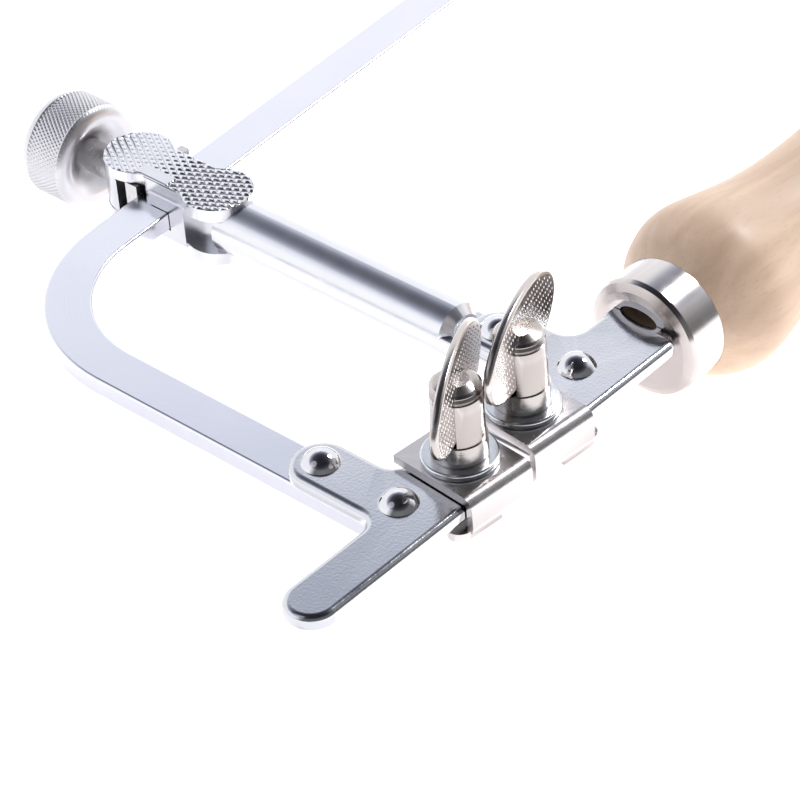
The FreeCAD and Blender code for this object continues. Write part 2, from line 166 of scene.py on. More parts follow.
tent.links.new(facing.outputs["Value"], opening.inputs["Value"])
tent.links.new(opening.outputs["Result"], dim.inputs["Factor"])
tent.links.new(walls.outputs["Color"], dim.inputs["B"])
tent.links.new(dim.outputs["Result"], glow.inputs["Color"])
tent.links.new(glow.outputs["Background"], sky.inputs["Surface"])
bpy.context.scene.view_settings.view_transform = "Standard"
print("tent stops", len(stops.elements))

# %% [markdown]
# Two lamps work with the tent. The key is a soft box beyond the handle, high on the right: it
# whitens the top of the wood and puts one clean spot on every dome. The fill is wide and weak,
# over the nose, so that nothing goes black where the tent is dark.

# %% Lamps
for name, place, size, power in (("key", (0.72, -0.12, 0.74), 0.26, 7.0),
                                 ("fill", (-0.55, 0.25, 0.75), 0.50, 0.25)):
    lamp_data = bpy.data.lights.new(name, "AREA")
    lamp_data.shape = "DISK"
    lamp_data.size = size
    lamp_data.energy = power
    lamp = bpy.data.objects.new(name, lamp_data)
    aim = Vector((0.03, 0.04, 0.0)) - Vector(place)
    lamp.matrix_world = Matrix.Translation(place) @ aim.to_track_quat("-Z", "Y").to_matrix().to_4x4()
    bpy.context.scene.collection.objects.link(lamp)
    print(name, "watts", power)

# %% [markdown]
# The table is bright white paper, lit so that it nearly burns out. A little painted light, a glow, is mixed
# into a plain diffuse white, which keeps a trace of shadow where metal touches it. The painted glow is
# stronger on the blade side, so that faces turned that way look whiter than the others.

# %% Table
TABLE_HALF, TABLE_GAP = 3.0, 0.0001
paper = bpy.data.materials.new("white_paper")
paper.use_nodes = True
net = paper.node_tree
net.nodes.clear()
where = net.nodes.new("ShaderNodeTexCoord")
where.label = "place on the paper"
tooth = net.nodes.new("ShaderNodeTexNoise")
tooth.label = "tooth of the paper"
tooth.inputs["Scale"].default_value = 900.0
rise = net.nodes.new("ShaderNodeBump")
rise.label = "very low tooth"
rise.inputs["Strength"].default_value = 0.1
rise.inputs["Distance"].default_value = 0.00002
white = net.nodes.new("ShaderNodeBsdfDiffuse")
white.label = "white paper"
white.inputs["Color"].default_value = (0.92, 0.92, 0.93, 1.0)
split = net.nodes.new("ShaderNodeVectorMath")
split.label = "distance towards the light side"
split.operation = "DOT_PRODUCT"
split.inputs[1].default_value = (0.71, -0.70, 0.0)
# painted light: the paper's glow is ramped up towards the blade side, a painted pool of light
painted_light_pool = net.nodes.new("ShaderNodeMapRange")
painted_light_pool.label = "painted light, brighter on the blade side"
painted_light_pool.inputs["From Min"].default_value = -0.03
painted_light_pool.inputs["From Max"].default_value = 0.05
painted_light_pool.inputs["To Min"].default_value = 0.78
painted_light_pool.inputs["To Max"].default_value = 1.10
# painted light: the paper glows like a lamp, though it is not one
painted_glow = net.nodes.new("ShaderNodeEmission")
painted_glow.label = "painted light glowing from the paper"
painted_glow.inputs["Color"].default_value = (1.0, 0.985, 1.0, 1.0)
both = net.nodes.new("ShaderNodeAddShader")
both.label = "paper and glow"
out = net.nodes.new("ShaderNodeOutputMaterial")
out.label = "paper surface"
for spot, node in enumerate((where, tooth, rise, white, split, painted_light_pool, painted_glow, both, out)):
    node.location = (spot * 200, -120 * (spot % 2))
net.links.new(where.outputs["Object"], tooth.inputs["Vector"])
net.links.new(where.outputs["Object"], split.inputs[0])
net.links.new(split.outputs["Value"], painted_light_pool.inputs["Value"])
net.links.new(painted_light_pool.outputs["Result"], painted_glow.inputs["Strength"])
net.links.new(tooth.outputs["Fac"], rise.inputs["Height"])
net.links.new(rise.outputs["Normal"], white.inputs["Normal"])
net.links.new(white.outputs["BSDF"], both.inputs[0])
net.links.new(painted_glow.outputs["Emission"], both.inputs[1])
net.links.new(both.outputs["Shader"], out.inputs["Surface"])

table_mesh = bpy.data.meshes.new("table")
sheet = bmesh.new()
bmesh.ops.create_grid(sheet, x_segments=8, y_segments=8, size=TABLE_HALF)
sheet.to_mesh(table_mesh)
sheet.free()
table = bpy.data.objects.new("table", table_mesh)
table.location = (0.0, 0.0, cad_box[0][2] - TABLE_GAP)
table_mesh.materials.append(paper)
bpy.context.scene.collection.objects.link(table)
print("table at", round(table.location.z, 5))

# %% [markdown]
# Nearly every part here is plated metal, so one function writes the whole make-up and each
# finish only changes its numbers. A real plated surface has four things on it: a slow change of
# tint, patches that are a little duller, a fine ripple left by rolling and polishing, and marks
# drawn out in one direction by a tool. The marks come from noise squeezed along that direction.
# Edges are rubbed brighter, which the pointiness of the mesh gives.

# %% Plated metal
def plated_metal(name, tint, shadow_tint, dull, spread, ripple_mm, ripple, marks, mark_depth):
    metal = bpy.data.materials.new(name)
    metal.use_nodes = True
    tree = metal.node_tree
    tree.nodes.clear()

    frame_where = tree.nodes.new("NodeFrame")
    frame_where.label = "place on the part"
    place = tree.nodes.new("ShaderNodeTexCoord")
    place.label = "metres on the part"
    squeeze = tree.nodes.new("ShaderNodeMapping")
    squeeze.label = "draw the marks out along the tool's path"
    squeeze.inputs["Scale"].default_value = marks
    for node in (place, squeeze):
        node.parent = frame_where

    frame_colour = tree.nodes.new("NodeFrame")
    frame_colour.label = "tint of the plating"
    cloud = tree.nodes.new("ShaderNodeTexNoise")
    cloud.label = "slow change of tint"
    cloud.inputs["Scale"].default_value = 140.0
    cloud.inputs["Detail"].default_value = 3.0
    blend_tint = tree.nodes.new("ShaderNodeMix")
    blend_tint.label = "two shades of the plating"
    blend_tint.data_type = "RGBA"
    blend_tint.inputs["A"].default_value = (*shadow_tint, 1.0)
    blend_tint.inputs["B"].default_value = (*tint, 1.0)
    edge = tree.nodes.new("ShaderNodeNewGeometry")
    edge.label = "sharp edges"
    rubbed = tree.nodes.new("ShaderNodeMapRange")
    rubbed.label = "only the outer edges"
    rubbed.inputs["From Min"].default_value = 0.52
    rubbed.inputs["From Max"].default_value = 0.62
    rubbed.inputs["To Max"].default_value = 0.5
    bright = tree.nodes.new("ShaderNodeMix")
    bright.label = "edges rubbed bright"
    bright.data_type = "RGBA"
    bright.inputs["B"].default_value = (0.84, 0.83, 0.83, 1.0)
    for node in (cloud, blend_tint, edge, rubbed, bright):
        node.parent = frame_colour

    frame_dull = tree.nodes.new("NodeFrame")
    frame_dull.label = "polish"
    patch = tree.nodes.new("ShaderNodeTexNoise")
    patch.label = "duller patches"
    patch.inputs["Scale"].default_value = 420.0
    patch.inputs["Detail"].default_value = 4.0
    polish = tree.nodes.new("ShaderNodeMapRange")
    polish.label = "from polished to dull"
    polish.inputs["From Min"].default_value = 0.3
    polish.inputs["From Max"].default_value = 0.7
    polish.inputs["To Min"].default_value = dull
    polish.inputs["To Max"].default_value = dull + spread
    for node in (patch, polish):
        node.parent = frame_dull

    frame_relief = tree.nodes.new("NodeFrame")
    frame_relief.label = "ripple and tool marks"
    lines = tree.nodes.new("ShaderNodeTexNoise")
    lines.label = "tool marks"
    lines.inputs["Scale"].default_value = 1.0
    lines.inputs["Detail"].default_value = 3.0
    cut = tree.nodes.new("ShaderNodeBump")
    cut.label = "depth of the tool marks"
    cut.inputs["Strength"].default_value = 1.0
    cut.inputs["Distance"].default_value = mark_depth * MM
    wave = tree.nodes.new("ShaderNodeTexNoise")
    wave.label = "ripple of the rolled sheet"
    wave.inputs["Scale"].default_value = 1.0 / (ripple_mm * MM)
    wave.inputs["Detail"].default_value = 1.0
    sink = tree.nodes.new("ShaderNodeBump")
    sink.label = "depth of the ripple"
    sink.inputs["Strength"].default_value = 1.0
    sink.inputs["Distance"].default_value = ripple * MM
    for node in (lines, cut, wave, sink):
        node.parent = frame_relief

    skin = tree.nodes.new("ShaderNodeBsdfPrincipled")
    skin.label = "plated surface"
    skin.inputs["Metallic"].default_value = 1.0
    finish = tree.nodes.new("ShaderNodeOutputMaterial")
    finish.label = "finished metal"
    spots = ((place, 0, 0), (squeeze, 200, 0), (cloud, 400, 300), (blend_tint, 600, 300), (edge, 400, 520),
             (rubbed, 600, 520), (bright, 800, 400), (patch, 400, 0), (polish, 800, 0), (lines, 400, -300),
             (cut, 600, -300), (wave, 400, -560), (sink, 800, -400), (skin, 1050, 0), (finish, 1350, 0))
    for node, across, down in spots:
        node.location = (across, down)

    tree.links.new(place.outputs["Object"], squeeze.inputs["Vector"])
    tree.links.new(place.outputs["Object"], cloud.inputs["Vector"])
    tree.links.new(place.outputs["Object"], patch.inputs["Vector"])
    tree.links.new(place.outputs["Object"], wave.inputs["Vector"])
    tree.links.new(squeeze.outputs["Vector"], lines.inputs["Vector"])
    tree.links.new(cloud.outputs["Fac"], blend_tint.inputs["Factor"])
    tree.links.new(edge.outputs["Pointiness"], rubbed.inputs["Value"])
    tree.links.new(rubbed.outputs["Result"], bright.inputs["Factor"])
    tree.links.new(blend_tint.outputs["Result"], bright.inputs["A"])
    tree.links.new(bright.outputs["Result"], skin.inputs["Base Color"])
    tree.links.new(patch.outputs["Fac"], polish.inputs["Value"])
    tree.links.new(polish.outputs["Result"], skin.inputs["Roughness"])
    tree.links.new(lines.outputs["Fac"], cut.inputs["Height"])
    tree.links.new(cut.outputs["Normal"], sink.inputs["Normal"])
    tree.links.new(wave.outputs["Fac"], sink.inputs["Height"])
    tree.links.new(sink.outputs["Normal"], skin.inputs["Normal"])
    tree.links.new(skin.outputs["BSDF"], finish.inputs["Surface"])
    print("finish", name, "nodes", len(tree.nodes))
    return metal


# %% [markdown]
# The finishes in use. The frame's plates are chromed over a rolled skin that still shows as a
# fine orange peel. The rod and rivets are polished before plating. Jaws, screws, wings and
# ferrule are nickel, which is warmer. Marks run round the turned hubs, so they are squeezed
# along the screw's axis; on the jaws they run straight across the blade line.

# %% Finishes
chrome_plate = plated_metal("chrome_plate", (0.60, 0.605, 0.625), (0.53, 0.54, 0.565),
                            0.11, 0.06, 0.42, 0.008, (900.0, 1100.0, 900.0), 0.0008)
chrome_rod = plated_metal("chrome_rod", (0.71, 0.715, 0.74), (0.65, 0.655, 0.69),
                          0.20, 0.05, 1.2, 0.004, (400.0, 4200.0, 400.0), 0.0016)
chrome_dome = plated_metal("chrome_dome", (0.66, 0.66, 0.68), (0.60, 0.60, 0.62),
                           0.03, 0.03, 1.5, 0.004, (600.0, 600.0, 600.0), 0.0005)
nickel_jaw = plated_metal("nickel_jaw", (0.46, 0.405, 0.39), (0.39, 0.34, 0.325),
                          0.20, 0.09, 0.30, 0.004, (2600.0, 500.0, 900.0), 0.0020)
zinc_washer = plated_metal("zinc_washer", (0.66, 0.68, 0.70), (0.58, 0.60, 0.62),
                           0.16, 0.08, 0.35, 0.003, (1500.0, 1500.0, 800.0), 0.0012)
nickel_turned = plated_metal("nickel_turned", (0.46, 0.425, 0.40), (0.375, 0.34, 0.32),
                             0.18, 0.08, 0.45, 0.003, (150.0, 150.0, 5200.0), 0.0080)
nickel_wing = plated_metal("nickel_wing", (0.54, 0.495, 0.47), (0.45, 0.41, 0.385),
                           0.18, 0.08, 0.30, 0.005, (900.0, 900.0, 1500.0), 0.0020)
nickel_knob = plated_metal("nickel_knob", (0.68, 0.67, 0.69), (0.60, 0.59, 0.61),
                           0.32, 0.08, 0.22, 0.004, (1500.0, 1500.0, 1500.0), 0.0020)
nickel_ferrule = plated_metal("nickel_ferrule", (0.51, 0.46, 0.44), (0.45, 0.405, 0.385),
                              0.16, 0.05, 1.6, 0.004, (250.0, 1400.0, 1400.0), 0.0015)
plain_steel = plated_metal("plain_steel", (0.50, 0.49, 0.49), (0.36, 0.35, 0.35),
                           0.24, 0.10, 0.40, 0.005, (900.0, 900.0, 2400.0), 0.0030)

# %% [markdown]
# The back bar is the same chrome, but it was drawn lengthwise, and the fine lines go round the
# bend with it. Squeezed noise can't turn a corner. The distance from the inside corner of the
# frame can: on the short leg it is only the X part, on the long leg only the Y part, and in the
# bend both together make a radius. Noise over that one number gives lines that follow the bar.

# %% Back bar finish
BEND_X, BEND_Y, SPLAY = -0.65, 57.11, math.radians(3.9)
drawn = bpy.data.materials.new("chrome_drawn_bar")
drawn.use_nodes = True
tree = drawn.node_tree
tree.nodes.clear()
frame_follow = tree.nodes.new("NodeFrame")
frame_follow.label = "distance across the bar"
place = tree.nodes.new("ShaderNodeTexCoord")
place.label = "metres on the bar"
unlean = tree.nodes.new("ShaderNodeSeparateXYZ")
unlean.label = "X, Y and Z"
past = tree.nodes.new("ShaderNodeMath")
past.label = "how far along the long leg"
past.operation = "SUBTRACT"
past.inputs[1].default_value = BEND_X * MM
along = tree.nodes.new("ShaderNodeMath")
along.label = "only past the bend"
along.operation = "MAXIMUM"
along.inputs[1].default_value = 0.0
rise_y = tree.nodes.new("ShaderNodeMath")
rise_y.label = "take off the lean of the long leg"
rise_y.operation = "MULTIPLY_ADD"
rise_y.inputs[1].default_value = -math.tan(SPLAY)
over = tree.nodes.new("ShaderNodeMath")
over.label = "height over the inside corner"
over.operation = "SUBTRACT"
over.inputs[1].default_value = BEND_Y * MM
over_up = tree.nodes.new("ShaderNodeMath")
over_up.label = "only above the corner"
over_up.operation = "MAXIMUM"
over_up.inputs[1].default_value = 0.0
left_of = tree.nodes.new("ShaderNodeMath")
left_of.label = "distance left of the corner"
left_of.operation = "SUBTRACT"
left_of.inputs[0].default_value = BEND_X * MM
left_up = tree.nodes.new("ShaderNodeMath")
left_up.label = "only left of the corner"
left_up.operation = "MAXIMUM"
left_up.inputs[1].default_value = 0.0
pair = tree.nodes.new("ShaderNodeCombineXYZ")
pair.label = "both distances"
radius = tree.nodes.new("ShaderNodeVectorMath")
radius.label = "radius from the corner"
radius.operation = "LENGTH"
thread = tree.nodes.new("ShaderNodeCombineXYZ")
thread.label = "across the bar, and its height"
for node in (place, unlean, past, along, rise_y, over, over_up, left_of, left_up, pair, radius, thread):
    node.parent = frame_follow
frame_lines = tree.nodes.new("NodeFrame")
frame_lines.label = "drawn lines"
lines = tree.nodes.new("ShaderNodeTexNoise")
lines.label = "fine lines along the bar"
lines.inputs["Scale"].default_value = 3600.0
lines.inputs["Detail"].default_value = 3.0
wave = tree.nodes.new("ShaderNodeTexNoise")
wave.label = "slight ripple"
wave.inputs["Scale"].default_value = 1500.0
cut = tree.nodes.new("ShaderNodeBump")
cut.label = "depth of the lines"
cut.inputs["Distance"].default_value = 0.0016 * MM
sink = tree.nodes.new("ShaderNodeBump")
sink.label = "depth of the ripple"
sink.inputs["Distance"].default_value = 0.003 * MM
for node in (lines, wave, cut, sink):
    node.parent = frame_lines
frame_tint = tree.nodes.new("NodeFrame")
frame_tint.label = "tint and polish"
cloud = tree.nodes.new("ShaderNodeTexNoise")
cloud.label = "slow change of tint"
cloud.inputs["Scale"].default_value = 90.0
shade = tree.nodes.new("ShaderNodeMix")
shade.label = "lavender to clear chrome"
shade.data_type = "RGBA"
shade.inputs["A"].default_value = (0.67, 0.68, 0.74, 1.0)
shade.inputs["B"].default_value = (0.74, 0.745, 0.79, 1.0)
polish = tree.nodes.new("ShaderNodeMapRange")
polish.label = "lines are a little duller"
polish.inputs["To Min"].default_value = 0.14
polish.inputs["To Max"].default_value = 0.24
for node in (cloud, shade, polish):
    node.parent = frame_tint
skin = tree.nodes.new("ShaderNodeBsdfPrincipled")
skin.label = "drawn chrome"
skin.inputs["Metallic"].default_value = 1.0
finish = tree.nodes.new("ShaderNodeOutputMaterial")
finish.label = "finished bar"
for spot, node in enumerate((place, unlean, past, along, rise_y, over, over_up, left_of, left_up, pair,
                             radius, thread, lines, wave, cut, sink, cloud, shade, polish, skin, finish)):
    node.location = (180 * (spot % 11), -260 * (spot // 11))
tree.links.new(place.outputs["Object"], unlean.inputs["Vector"])
tree.links.new(unlean.outputs["X"], past.inputs[0])
tree.links.new(past.outputs["Value"], along.inputs[0])
tree.links.new(along.outputs["Value"], rise_y.inputs[0])
tree.links.new(unlean.outputs["Y"], rise_y.inputs[2])
tree.links.new(rise_y.outputs["Value"], over.inputs[0])
tree.links.new(over.outputs["Value"], over_up.inputs[0])
tree.links.new(unlean.outputs["X"], left_of.inputs[1])
tree.links.new(left_of.outputs["Value"], left_up.inputs[0])
tree.links.new(left_up.outputs["Value"], pair.inputs["X"])
tree.links.new(over_up.outputs["Value"], pair.inputs["Y"])
tree.links.new(pair.outputs["Vector"], radius.inputs[0])
tree.links.new(radius.outputs["Value"], thread.inputs["X"])
tree.links.new(unlean.outputs["Z"], thread.inputs["Z"])
tree.links.new(thread.outputs["Vector"], lines.inputs["Vector"])
tree.links.new(place.outputs["Object"], wave.inputs["Vector"])
tree.links.new(place.outputs["Object"], cloud.inputs["Vector"])
tree.links.new(lines.outputs["Fac"], cut.inputs["Height"])
tree.links.new(cut.outputs["Normal"], sink.inputs["Normal"])
tree.links.new(wave.outputs["Fac"], sink.inputs["Height"])
tree.links.new(sink.outputs["Normal"], skin.inputs["Normal"])
tree.links.new(cloud.outputs["Fac"], shade.inputs["Factor"])
tree.links.new(shade.outputs["Result"], skin.inputs["Base Color"])
tree.links.new(lines.outputs["Fac"], polish.inputs["Value"])
tree.links.new(polish.outputs["Result"], skin.inputs["Roughness"])
tree.links.new(skin.outputs["BSDF"], finish.inputs["Surface"])
print("finish chrome_drawn_bar nodes", len(tree.nodes))

# %% [markdown]
# The handle is a pale, close-grained hardwood such as beech, turned, sanded smooth and given a
# thin clear coat. Beech shows a quiet straight grain along the handle and many short darker
# flecks. Grain is noise drawn out along X; the flecks are a finer noise, drawn out less and
# cut off so that only its peaks show.

# %% Wood
beech = bpy.data.materials.new("beech")
beech.use_nodes = True
tree = beech.node_tree
tree.nodes.clear()
frame_grain = tree.nodes.new("NodeFrame")
frame_grain.label = "grain"
place = tree.nodes.new("ShaderNodeTexCoord")
place.label = "metres on the handle"
draw_out = tree.nodes.new("ShaderNodeMapping")
draw_out.label = "grain runs along the handle"
draw_out.inputs["Scale"].default_value = (14.0, 150.0, 150.0)
grain = tree.nodes.new("ShaderNodeTexNoise")
grain.label = "growth lines"
grain.inputs["Scale"].default_value = 1.6
grain.inputs["Detail"].default_value = 6.0
grain.inputs["Distortion"].default_value = 0.6
for node in (place, draw_out, grain):
    node.parent = frame_grain
frame_fleck = tree.nodes.new("NodeFrame")
frame_fleck.label = "flecks"
short = tree.nodes.new("ShaderNodeMapping")
short.label = "flecks are short dashes"
short.inputs["Scale"].default_value = (320.0, 2100.0, 2100.0)
fleck = tree.nodes.new("ShaderNodeTexNoise")
fleck.label = "ray flecks"
fleck.inputs["Scale"].default_value = 1.0
fleck.inputs["Detail"].default_value = 2.0
peaks = tree.nodes.new("ShaderNodeMapRange")
peaks.label = "only the strongest flecks"
peaks.inputs["From Min"].default_value = 0.56
peaks.inputs["From Max"].default_value = 0.72
peaks.inputs["To Max"].default_value = 0.30
for node in (short, fleck, peaks):
    node.parent = frame_fleck
frame_tone = tree.nodes.new("NodeFrame")
frame_tone.label = "colour"
tone = tree.nodes.new("ShaderNodeValToRGB")
tone.label = "pale to honey"
tone.color_ramp.elements[0].position = 0.36
tone.color_ramp.elements[0].color = (0.67, 0.467, 0.325, 1.0)
tone.color_ramp.elements[1].position = 0.66
tone.color_ramp.elements[1].color = (0.81, 0.600, 0.435, 1.0)
darker = tree.nodes.new("ShaderNodeMix")
darker.label = "flecks over the grain"
darker.data_type = "RGBA"
darker.inputs["B"].default_value = (0.56, 0.375, 0.25, 1.0)
for node in (tone, darker):
    node.parent = frame_tone
frame_coat = tree.nodes.new("NodeFrame")
frame_coat.label = "sanded and coated surface"
sheen = tree.nodes.new("ShaderNodeMapRange")
sheen.label = "grain takes the coat unevenly"
sheen.inputs["To Min"].default_value = 0.42
sheen.inputs["To Max"].default_value = 0.56
pore = tree.nodes.new("ShaderNodeBump")
pore.label = "open pores"
pore.inputs["Strength"].default_value = 0.5
pore.inputs["Distance"].default_value = 0.010 * MM
for node in (sheen, pore):
    node.parent = frame_coat
skin = tree.nodes.new("ShaderNodeBsdfPrincipled")
skin.label = "coated beech"
skin.inputs["Coat Weight"].default_value = 0.12
skin.inputs["Coat Roughness"].default_value = 0.30
finish = tree.nodes.new("ShaderNodeOutputMaterial")
finish.label = "finished wood"
for spot, node in enumerate((place, draw_out, grain, short, fleck, peaks, tone, darker, sheen, pore,
                             skin, finish)):
    node.location = (200 * (spot % 6), -300 * (spot // 6))
tree.links.new(place.outputs["Object"], draw_out.inputs["Vector"])
tree.links.new(draw_out.outputs["Vector"], grain.inputs["Vector"])
tree.links.new(place.outputs["Object"], short.inputs["Vector"])
tree.links.new(short.outputs["Vector"], fleck.inputs["Vector"])
tree.links.new(fleck.outputs["Fac"], peaks.inputs["Value"])
tree.links.new(grain.outputs["Fac"], tone.inputs["Fac"])
tree.links.new(tone.outputs["Color"], darker.inputs["A"])
tree.links.new(peaks.outputs["Result"], darker.inputs["Factor"])
tree.links.new(darker.outputs["Result"], skin.inputs["Base Color"])
tree.links.new(grain.outputs["Fac"], sheen.inputs["Value"])
tree.links.new(sheen.outputs["Result"], skin.inputs["Roughness"])
tree.links.new(fleck.outputs["Fac"], pore.inputs["Height"])
tree.links.new(pore.outputs["Normal"], skin.inputs["Normal"])
tree.links.new(skin.outputs["BSDF"], finish.inputs["Surface"])
print("finish beech nodes", len(tree.nodes))

# %% [markdown]
# Pieces drawn here stand in for imported solids that are too plain. Each one is filled into a mesh, shaded
# smooth except over sharp corners, given its finish and told which body it rides on, and the imported solid
# it stands for is hidden. That is the same every time, so it is written once.

# %% Setting a piece down
def set_down(name, shape, metal, body, stands_for, sharp=35.0):
    bmesh.ops.recalc_face_normals(shape, faces=shape.faces)
    mesh = bpy.data.meshes.new(name)
    shape.to_mesh(mesh)
    shape.free()
    mesh.materials.clear()
    mesh.materials.append(metal)
    piece = bpy.data.objects.new(name, mesh)
    bpy.context.scene.collection.objects.link(piece)
    mesh.shade_smooth()
    mesh.set_sharp_from_angle(angle=math.radians(sharp))
    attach(piece, body)
    if stands_for:
        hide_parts(*stands_for)
    print(name, "points", len(mesh.vertices), "faces", len(mesh.polygons))


def joined_rings(shape, rings):
    # rings are lists of points of one length; neighbours are joined by four-sided faces, and the
    # first and last ring are closed by a flat face
    loops = [[shape.verts.new(point) for point in ring] for ring in rings]
    count = len(loops[0])
    for lower, upper in zip(loops, loops[1:]):
        for i in range(count):
            j = (i + 1) % count
            shape.faces.new((lower[i], lower[j], upper[j], upper[i]))
    shape.faces.new(loops[0][::-1])
    shape.faces.new(loops[-1])


# %% [markdown]
# The thumb plates are stamped ovals. Their broad rim is smooth, with a thin bevel that catches
# the light, and both faces carry rows of small raised dots for grip. The oval is a stack of
# rings through its thickness. Each dot is a tiny dome of two rings and a tip, set a little into
# the face. Dots under the screw's hub are left out, because the hub fills that space.

# %% Thumb plates
WING_HALF, WING_RISE, WING_THICK = 12.0, 6.3, 1.2
WING_LIFT = 10.0                       # the oval's middle stands this far over the washer
RIM_POINTS = 120
DOT_ROW, DOT_STEP = 1.12, 0.72         # rows up the face, dots along a row
DOT_BORDER_ALONG, DOT_BORDER_UP = 0.95, 0.75    # smooth rim round the dots
HUB_HALF, HUB_RISE = 3.9, 2.2          # no dots where the screw's hub stands
DOT_SIDES, DOT_SINK, DOT_TIP = 6, 0.03, 0.08    # a dot's corners, its root and its height


def thumb_plate(name, x, washer_top, heading, body, stands_for):
    shape = bmesh.new()
    turn = math.radians(heading)
    centre_z = washer_top + WING_LIFT

    def at(along, through, high):
        return Vector((x + along * math.cos(turn) - through * math.sin(turn),
                       SCREW_Y + along * math.sin(turn) + through * math.cos(turn), centre_z + high)) * MM

    half = WING_THICK / 2.0
    steps = ((-half, 0.62), (-half, 0.40), (-half + 0.05, 0.30), (-half + 0.24, 0.05), (-half + 0.34, 0.0),
             (half - 0.34, 0.0), (half - 0.24, 0.05), (half - 0.05, 0.30), (half, 0.40), (half, 0.62))
    rings = []
    for through, inset in steps:
        ring = []
        for i in range(RIM_POINTS):
            a = 2.0 * math.pi * i / RIM_POINTS
            ring.append(at((WING_HALF - inset) * math.cos(a), through, (WING_RISE - inset) * math.sin(a)))
        rings.append(ring)
    joined_rings(shape, rings)
    dots = 0
    for row in range(-5, 6):
        high = row * DOT_ROW
        for column in range(-16, 17):
            along = column * DOT_STEP + (row % 2) * DOT_STEP / 2.0
            inside = (along / (WING_HALF - DOT_BORDER_ALONG)) ** 2 + (high / (WING_RISE - DOT_BORDER_UP)) ** 2
            under_hub = abs(along) < HUB_HALF and high < HUB_RISE
            if inside > 1.0 or under_hub:
                continue
            for side in (-1, 1):
                loops = []
                for reach, rise, through in ((0.14, 0.24, half - DOT_SINK), (0.09, 0.16, half + 0.06)):
                    corners = [k * 2.0 * math.pi / DOT_SIDES for k in range(DOT_SIDES)]
                    loops.append([shape.verts.new(at(along + reach * math.cos(a), side * through,
                                                     high + rise * math.sin(a))) for a in corners])
                foot, brow = loops
                tip = shape.verts.new(at(along, side * (half + DOT_TIP), high))
                for k in range(DOT_SIDES):
                    j = (k + 1) % DOT_SIDES
                    shape.faces.new((foot[k], foot[j], brow[j], brow[k]))
                    shape.faces.new((brow[k], brow[j], tip))
                shape.faces.new(foot)
                dots += 1
    print(name, "dots", dots)
    set_down(name, shape, nickel_wing, body, [stands_for])


thumb_plate("nose_wing", x=-12.2, washer_top=2.45, heading=28.0,
            body="nose_thumb_screw", stands_for="nose_thumb_plate")
thumb_plate("handle_wing", x=0.0, washer_top=2.95, heading=20.5,
            body="handle_thumb_screw", stands_for="handle_thumb_plate")

# %% [markdown]
# The lock knob is turned from bar and its rim is cross-knurled: two sets of slanting teeth that
# leave small pyramids. A bump could fake them, but the rim's outline is seen against white, so
# the teeth are in the mesh. Round the rim the height is the lower of two slanting saw waves,
# faded out at both ends of the knurled band. The head side is dished round the screw.

# %% Lock knob
KNOB_FACE_Y, KNOB_RADIUS = 95.4, 8.0
TEETH, AROUND = 76, 456                # teeth round the rim, points round each ring
TOOTH_DEPTH, TOOTH_LEAN = 0.20, 0.95   # one tooth leans over this length along the knob
BAND_START, BAND_END, BAND_FADE = 0.85, 7.05, 0.35
knob_profile = [(2.6, 2.4), (2.25, 2.8), (1.9, 3.4), (1.2, 4.1), (0.6, 4.9), (0.15, 5.5), (0.0, 6.1),
                (0.06, 6.7), (0.25, 7.3), (0.5, 7.6)]
knob_band = [(BAND_START + 0.11 * i, KNOB_RADIUS) for i in range(57)]
knob_back = [(7.3, 7.85), (7.8, 7.72), (8.3, 7.4), (8.8, 6.8), (9.2, 6.0), (9.5, 5.0), (9.7, 3.6),
             (9.78, 2.0), (9.8, 0.4)]
shape = bmesh.new()
rings = []
for along, radius in knob_profile + knob_band + knob_back:
    ring = []
    fade_in = min(1.0, max(0.0, (along - BAND_START) / BAND_FADE))
    fade = fade_in * min(1.0, max(0.0, (BAND_END - along) / BAND_FADE))
    for i in range(AROUND):
        a = 2.0 * math.pi * i / AROUND
        left_hand = abs(((TEETH * i / AROUND + along / TOOTH_LEAN) % 1.0) - 0.5) * 2.0
        right_hand = abs(((TEETH * i / AROUND - along / TOOTH_LEAN) % 1.0) - 0.5) * 2.0
        reach = radius - TOOTH_DEPTH * fade * (1.0 - min(left_hand, right_hand))
        point = Vector((ARM_X + reach * math.sin(a), KNOB_FACE_Y + along, MID_Z + reach * math.cos(a)))
        ring.append(point * MM)
    rings.append(ring)
joined_rings(shape, rings)
set_down("lock_knob_body", shape, nickel_knob, "lock_knob", ["clamp_knob"], 60.0)

# %% [markdown]
# The head grips the bar between two pads whose outer faces are cross-cut with a file-like
# pattern at thirty degrees to the rod. One set of cuts is deep all over; the other fades
# towards the knob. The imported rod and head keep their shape, with pads that stop at the bottom
# of the cuts, and a finely divided skin that holds the cuts themselves lies on each pad.

# %% Cross-cut skins of the head
LOBE_LOW_Y, LOBE_HIGH_Y, LOBE_RADIUS, WAIST_HALF = 70.9, 86.6, 5.2, 3.75
SKIN_START_Y, SKIN_END_Y = LOBE_LOW_Y - 5.18, LOBE_HIGH_Y + 5.18
UPPER_FACE_Z, LOWER_FACE_Z, SKIN_THICK = 0.85, -8.75, 0.4
CUT_TURN = math.radians(30)
DEEP_CUT, SECOND_CUT, CUT_HALF = 0.24, 0.26, 0.27      # depths of the two sets, half width of a cut
FADE_END_Y, FADE_LENGTH, FAINTEST = 84.0, 8.0, 0.15    # where the second set fades, and to how little
PLAIN_X, PLAIN_LOW_Y, PLAIN_HIGH_Y = -1.6, 77.5, 83.5  # a patch at the waist has no cuts
RIM_ROUND, RIM_REACH = 0.14, 0.22
SKIN_ROWS, SKIN_ACROSS = 210, 84


def pad_half_width(y):
    lobes = [0.0]
    for middle in (LOBE_LOW_Y, LOBE_HIGH_Y):
        if abs(y - middle) < LOBE_RADIUS:
            lobes.append(math.sqrt(LOBE_RADIUS ** 2 - (y - middle) ** 2))
    if LOBE_LOW_Y < y < LOBE_HIGH_Y:
        lobes.append(WAIST_HALF)
    return max(lobes)


